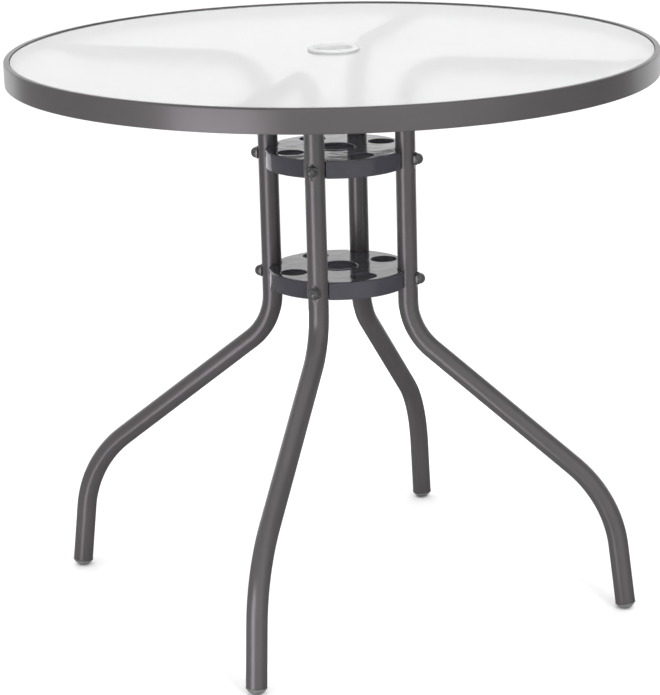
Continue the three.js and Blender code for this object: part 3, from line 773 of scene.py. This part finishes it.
def makeHub(v):
    shape = bmesh.new()
    bottom, top = -v["height"] / 2, v["height"] / 2
    deckBottom = top - v["deck"]
    wall, edge = v["wall"], v["footEdge"]
    outer = hubLine(v, v["radius"], v["notch"], v["earRound"])
    inner = hubLine(v, v["radius"] - wall, v["notch"] + wall, v["earInside"])
    skirt = raiseWall(shape, outer, False, easedLevels(bottom, top, edge, v["topRound"], v["topSteps"]))
    cavity = raiseWall(shape, inner, True, easedLevels(bottom, deckBottom, edge, 0.0))
    holes = [circleLine(0, 0, v["bore"] + v["collarWall"] / 2, v["boreSegments"])]
    for number in range(legCount):
        angle = (number + 0.5) * fullTurn / legCount
        centre = (v["holeOffset"] * math.cos(angle), v["holeOffset"] * math.sin(angle))
        holes.append(circleLine(*centre, v["holeRadius"], v["holeSegments"]))
    holeLevels = easedLevels(deckBottom, top, v["holeBelow"], v["holeAbove"])
    through = [raiseWall(shape, hole, True, holeLevels) for hole in holes]
    fillFlat(shape, [skirt[1]] + [upper for lower, upper in through])
    fillFlat(shape, [skirt[0], cavity[0]])
    fillFlat(shape, [cavity[1]] + [lower for lower, upper in through])
    bore, outside, high = v["bore"], v["bore"] + v["collarWall"], top + v["collarRise"]
    turnProfile(shape, easeCorners([
        (bore, bottom, v["collarFoot"]),
        (outside, bottom, v["collarFoot"]),
        (outside, top, 0),
        (outside, high, v["collarOutside"]),
        (bore, high, v["collarInside"]),
    ], v["collarSteps"]), v["collarSegments"])
    for number in range(legCount):
        before = set(shape.verts)
        addRibs(shape, v, bottom + v["ribSetback"], deckBottom + v["ribRoot"])
        fresh = [vertex for vertex in shape.verts if vertex not in before]
        bmesh.ops.transform(shape, matrix=roundTheTable(number), verts=fresh)
    return finishShape(shape, "hubMesh")


hubMesh = makeHub(hubSizes)
for label in ("upper", "lower"):
    place = Matrix.Translation((0, 0, legSizes[f"{label}Bolt"] * mm))
    placePiece(f"{label}Hub", hubMesh, hubMoulding, "hub_plastic", [f"{label}_hub"], place)
print("hubs made")


fixingSizes = {
    "boltRadius": 3.0, "boltHole": 3.4, "shankStart": 0.5, "tipChamfer": 0.6, "shankSegments": 24,
    "headFlats": 10.0, "headThickness": 4.0, "headChamfer": 0.7, "seatHeight": 0.3, "seatEdge": 0.2,
    # the crown of a bolt's head: depth under its top, and how far in from its flats
    "crownCourse": ((0.0, 0.4), (0.15, 0.1)),
    "washerRadius": 6.2, "washerThickness": 1.2, "washerEdge": 0.15, "washerRound": 0.35, "washerSegments": 40,
    "nutFlats": 14.2, "nutBase": 3.0, "nutHeight": 10.5, "nutBore": 6.0, "nutChamfer": 0.35,
    "nutShoulder": 0.5, "nutCrown": 0.1, "domeRadius": 6.9, "domeStep": 0.2, "domeSteps": 12,
    "tabThickness": 3.0, "tabWidth": 36.0, "tabCorner": 7.0, "tabEdge": 0.3, "cornerSteps": 8,
    "tabOuter": 393.0, "tabInner": 364.0, "tabTop": 689.6, "screwOffset": 376.0, "holeSegments": 28,
}
hexSides = 48           # vertices round a hexagon, a multiple of six
hexTurns = [fullTurn * i / hexSides for i in range(hexSides)]
sixth = math.pi / 3


def hexRings(shape, levels, flats):
    # rings that follow a hexagon but never pass each level's own radius
    rings = []
    for z, limit in levels:
        ring = []
        for angle in hexTurns:
            fold = (angle + sixth / 2) % sixth - sixth / 2
            reach = min(flats / 2 / math.cos(fold), limit)
            ring.append((reach * math.cos(angle + sixth / 2), reach * math.sin(angle + sixth / 2), z))
        rings.append(ring)
    return loftRings(shape, rings)


def makeBolt(v, length):
    shape = bmesh.new()
    flats, thick = v["headFlats"], v["headThickness"]
    corner = flats / 2 / math.cos(sixth / 2)
    levels = [(depth - thick, flats / 2 - inset) for depth, inset in v["crownCourse"]]
    levels += [(v["headChamfer"] - thick, corner), (-v["seatHeight"], corner), (0.0, corner - v["seatEdge"])]
    made = hexRings(shape, levels, flats)
    shape.faces.new(list(reversed(made[0])))
    shape.faces.new(made[-1])
    radius, chamfer = v["boltRadius"], v["tipChamfer"]
    profile = [(radius, -v["shankStart"]), (radius, length - chamfer), (radius - chamfer, length), (0, length)]
    turnProfile(shape, profile, v["shankSegments"], closed=False)
    return finishShape(shape, "boltMesh")


def makeWasher(v):
    shape = bmesh.new()
    hole, radius, thick, edge = v["boltHole"], v["washerRadius"], v["washerThickness"], v["washerEdge"]
    corners = [(hole, 0, edge), (radius, 0, edge), (radius, thick, v["washerRound"]), (hole, thick, edge)]
    turnProfile(shape, easeCorners(corners, fewSteps), v["washerSegments"])
    return finishShape(shape, "washerMesh")


def makeNut(v):
    # a hexagon, a dome on it, and a blind bore from below
    shape = bmesh.new()
    hole, flats, base, dome = v["boltHole"], v["nutFlats"], v["nutBase"], v["domeRadius"]
    corner = flats / 2 / math.cos(sixth / 2)
    domeBase = v["nutHeight"] - dome
    levels = [(0, hole), (0, flats / 2), (v["nutChamfer"], corner), (base - v["nutShoulder"], corner)]
    levels += [(base, flats / 2 + v["nutCrown"]), (base + v["domeStep"], dome)]
    turns = [math.pi / 2 * i / v["domeSteps"] for i in range(v["domeSteps"])]
    levels += [(domeBase + dome * math.sin(t), dome * math.cos(t)) for t in turns]
    last = hexRings(shape, levels, flats)[-1]
    peak = shape.verts.new((0, 0, v["nutHeight"]))
    for near, far in zip(last, last[1:] + last[:1]):
        shape.faces.new((near, far, peak))
    bore = [(hole * math.cos(t + sixth / 2), hole * math.sin(t + sixth / 2)) for t in hexTurns]
    inner = loftRings(shape, [[(x, y, z) for x, y in bore] for z in (v["nutBore"], 0)])
    shape.faces.new(inner[0])
    return finishShape(shape, "nutMesh", smoothAngle=28)


def makeTab(v):
    shape = bmesh.new()
    half, corner, steps = v["tabWidth"] / 2, v["tabCorner"], v["cornerSteps"]
    turnX = v["tabInner"] + corner
    outline = [(v["tabOuter"], -half), (v["tabOuter"], half)]
    outline += arcLine(turnX, half - corner, corner, math.pi / 2, math.pi, steps)
    outline += arcLine(turnX, corner - half, corner, math.pi, math.pi * 1.5, steps)
    hole = circleLine(v["screwOffset"], 0, v["boltHole"], v["holeSegments"])
    easedPlate(shape, outline, [hole], v["tabTop"] - v["tabThickness"], v["tabTop"], v["tabEdge"], v["tabEdge"])
    return finishShape(shape, "tabMesh")


def placeFixings(v, leg, hub):
    # at a hub, a bolt and its washer inside the boss and the domed nut outside the leg;
    # at an arm, a tab under the rim's ledge and the screw that comes up through the arm into it
    washerFace = hub["bossFace"] - seatGap - v["washerThickness"]
    headFace = washerFace - seatGap
    nutFace = leg["upright"] + leg["tubeRadius"] - leg["flatDepth"] + seatGap
    screwSeat = leg["tongueHeight"] - leg["tongueHalf"] - seatGap
    boltMesh = makeBolt(v, nutFace + v["nutBore"] - seatGap - headFace)
    washerMesh, nutMesh = makeWasher(v), makeNut(v)
    screwMesh, tabMesh = makeBolt(v, v["tabTop"] - screwSeat), makeTab(v)
    lay = Matrix.Rotation(math.pi / 2, 4, "Y")
    for number in range(1, legCount + 1):
        turn = roundTheTable(number - 1)
        for label in ("upper", "lower"):
            for kind, mesh, look, slotName, node, along in (
                ("hubBolt", boltMesh, zincPlate, "zinc_steel", "hub_bolt", headFace),
                ("hubWasher", washerMesh, zincPlate, "zinc_steel", "hub_washer", washerFace),
                ("capNut", nutMesh, nutCoat, "nut_steel", "cap_nut", nutFace),
            ):
                place = turn @ Matrix.Translation((along * mm, 0, leg[f"{label}Bolt"] * mm)) @ lay
                nodes = [f"{node}_{label}_{number}"]
                placePiece(f"{kind}{label.title()}{number}", mesh, look, slotName, nodes, place)
        place = turn @ Matrix.Translation((v["screwOffset"] * mm, 0, screwSeat * mm))
        placePiece(f"armScrew{number}", screwMesh, zincPlate, "zinc_steel", [f"arm_screw_{number}"], place)
        placePiece(f"rimTab{number}", tabMesh, frameCoat, "frame_steel", [f"rim_tab_{number}"], turn)


placeFixings(fixingSizes, legSizes, hubSizes)
print("fixings made")


studio = {
    "floorHalf": 12.0, "floorColour": (0.93, 0.93, 0.93), "floorRoughness": 0.9, "floorShine": 0.1,
    "seenSky": 1.0, "cameraSide": -72.66, "dimSides": 0.11,
    "leftWall": 0.26, "leftTurn": -92.0, "leftRange": (0.3, 0.9),
    "fill": 0.66, "fillTurn": 20.0, "fillRange": (0.66, 0.9), "fillFade": (-0.42, -0.26),
    "boxGlow": 4.5, "boxTurn": -35.0, "boxAway": 1.503, "boxWidth": 0.78, "boxHeight": 1.16, "boxLift": -0.6,
    "boxTint": (1.0, 0.92, 0.99),
    "keyGlow": 13.0, "keyTurn": 26.5, "keyAway": 2.5, "keyWidth": 0.5, "keyHeight": 1.2, "keyLift": 0.9,
    "paperGlow": 1.15, "paperTurn": 180.0, "paperAway": 1.4, "paperSide": 0.41,
    "paperWidth": 4.14, "paperHeight": 1.3,
    "overhead": 2.8, "overheadSpread": 110.0, "overheadHeight": 3.0,
}


def makeSky(v):
    # the camera sees plain white; the table sees dim sides, a paler left and a fill in front
    world = bpy.data.worlds.new("studioSky")
    world.use_nodes = True
    tree = world.node_tree
    place = addNode(tree, "ShaderNodeTexCoord")
    parts = addNode(tree, "ShaderNodeSeparateXYZ")
    tree.links.new(place.outputs["Generated"], parts.inputs[0])
    level = addNode(tree, "ShaderNodeVectorMath", operation="MULTIPLY")
    level.inputs[1].default_value = (1.0, 1.0, 0.0)
    tree.links.new(place.outputs["Generated"], level.inputs[0])
    heading = addNode(tree, "ShaderNodeVectorMath", operation="NORMALIZE")
    tree.links.new(level.outputs[0], heading.inputs[0])

    def glow(value, span, strength):
        # rises smoothly from nothing to its strength over the span
        made = mapRange(tree, value, *span, interpolation_type="SMOOTHSTEP")
        made.inputs["To Max"].default_value = strength
        return made.outputs[0]

    def towards(turn):
        # how nearly a ray heads this way, seen from above
        angle = math.radians(v["cameraSide"] + turn)
        match = addNode(tree, "ShaderNodeVectorMath", operation="DOT_PRODUCT")
        match.inputs[1].default_value = (math.cos(angle), math.sin(angle), 0.0)
        tree.links.new(heading.outputs[0], match.inputs[0])
        return match.outputs["Value"]

    leftWall = glow(towards(v["leftTurn"]), v["leftRange"], v["leftWall"])
    fill = glow(towards(v["fillTurn"]), v["fillRange"], v["fill"])
    fillLevel = glow(parts.outputs["Z"], v["fillFade"], 1.0)        # the fill fades towards the floor
    light = mathNode(tree, "ADD", leftWall, v["dimSides"])
    light = mathNode(tree, "ADD", light, mathNode(tree, "MULTIPLY", fill, fillLevel))
    ray = addNode(tree, "ShaderNodeLightPath")
    seen = addNode(tree, "ShaderNodeMix", data_type="FLOAT")
    tree.links.new(ray.outputs["Is Camera Ray"], seen.inputs[0])
    tree.links.new(light, seen.inputs[2])
    seen.inputs[3].default_value = v["seenSky"]
    background = tree.nodes["Background"]
    background.inputs["Color"].default_value = (1.0, 1.0, 1.0, 1.0)
    tree.links.new(seen.outputs[0], background.inputs["Strength"])
    bpy.context.scene.world = world


def makeFloor(v):
    mesh = bpy.data.meshes.new("floorMesh")
    h = v["floorHalf"]
    mesh.from_pydata([(-h, -h, 0), (h, -h, 0), (h, h, 0), (-h, h, 0)], [], [(0, 1, 2, 3)])
    floor = bpy.data.objects.new("floor", mesh)
    bpy.context.scene.collection.objects.link(floor)
    look, tree, shader = newLook("paleFloor")
    shader.inputs["Base Color"].default_value = (*v["floorColour"], 1)
    shader.inputs["Roughness"].default_value = v["floorRoughness"]
    shader.inputs["Specular IOR Level"].default_value = v["floorShine"]
    mesh.materials.append(look)
    floor.visible_glossy = False        # gloss shows the studio's dim sides and the foot of the box instead


def addPanel(name, v):
    # a soft upright panel that faces the table; its values in the studio start with its name
    width, height = v[f"{name}Width"], v[f"{name}Height"]
    data = bpy.data.lights.new(f"{name}Panel", "AREA")
    data.shape = "RECTANGLE"
    data.size, data.size_y = width, height
    data.energy = v[f"{name}Glow"] * math.pi * width * height
    data.color = v.get(f"{name}Tint", (1.0, 1.0, 1.0))
    panel = bpy.data.objects.new(f"{name}Panel", data)
    heading = math.radians(v["cameraSide"] + v[f"{name}Turn"])
    out = Vector((math.cos(heading), math.sin(heading), 0.0))
    across = Vector((math.sin(heading), -math.cos(heading), 0.0))
    rise = Vector((0.0, 0.0, v.get(f"{name}Lift", 0.0) + height / 2))
    panel.location = out * v[f"{name}Away"] + across * v.get(f"{name}Side", 0.0) + rise
    panel.rotation_euler = (math.pi / 2, 0.0, heading - math.pi * 1.5)
    return panel


def addLights(v):
    # a low box left of the camera makes the bright stripe on the tubes
    box = addPanel("box", v)
    # paper behind the table pales the decks of the hubs and the land of the rim
    paper = addPanel("paper", v)
    paper.visible_transmission = False
    # a key light right of the camera puts the two rear tubes in the shade of the front ones
    key = addPanel("key", v)
    key.visible_glossy = False
    # a wide light from above whitens the floor
    data = bpy.data.lights.new("wideOverhead", "SUN")
    data.energy, data.angle = v["overhead"], math.radians(v["overheadSpread"])
    above = bpy.data.objects.new("wideOverhead", data)
    above.location = (0.0, 0.0, v["overheadHeight"])
    above.visible_glossy = False
    for light in (box, paper, key, above):
        light.visible_camera = False
        bpy.context.scene.collection.objects.link(light)


cameraFacts = {
    "distance": 3258.485, "height": 1229.697, "focalPixels": 2674.768, "pitch": -0.273305, "yaw": 0.046022,
    "roll": -0.013546, "turn": 17.3443, "centreShift": 130.0, "frameLong": 695.0,
    "sensorWidth": 36.0, "clipEnd": 100.0,
}


def makeCamera(v):
    # the camera stands in front, looks along +Y, and then goes round the table by its turn
    cp, sp = math.cos(v["pitch"]), math.sin(v["pitch"])
    cy, sy = math.cos(v["yaw"]), math.sin(v["yaw"])
    cr, sr = math.cos(v["roll"]), math.sin(v["roll"])
    forward = Vector((sy * cp, cy * cp, sp))
    right = Vector((cy, -sy, 0))
    up = right.cross(forward)
    levelRight, levelUp = right * cr + up * sr, up * cr - right * sr
    facing = Matrix((levelRight, levelUp, -forward)).transposed().to_4x4()
    data = bpy.data.cameras.new("photoCamera")
    data.sensor_fit = "AUTO"
    data.sensor_width = v["sensorWidth"]
    data.lens = v["focalPixels"] * data.sensor_width / v["frameLong"]
    data.shift_x = -v["centreShift"] / v["frameLong"]
    data.clip_end = v["clipEnd"]
    camera = bpy.data.objects.new("photoCamera", data)
    bpy.context.scene.collection.objects.link(camera)
    turn = Matrix.Rotation(math.radians(v["turn"]), 4, "Z")
    camera.matrix_world = turn @ Matrix.Translation((0, -v["distance"] * mm, v["height"] * mm)) @ facing
    bpy.context.scene.camera = camera


makeFloor(studio)
makeSky(studio)
addLights(studio)
makeCamera(cameraFacts)
bpy.context.scene.view_settings.view_transform = "Standard"
print("floor, light and camera ready")
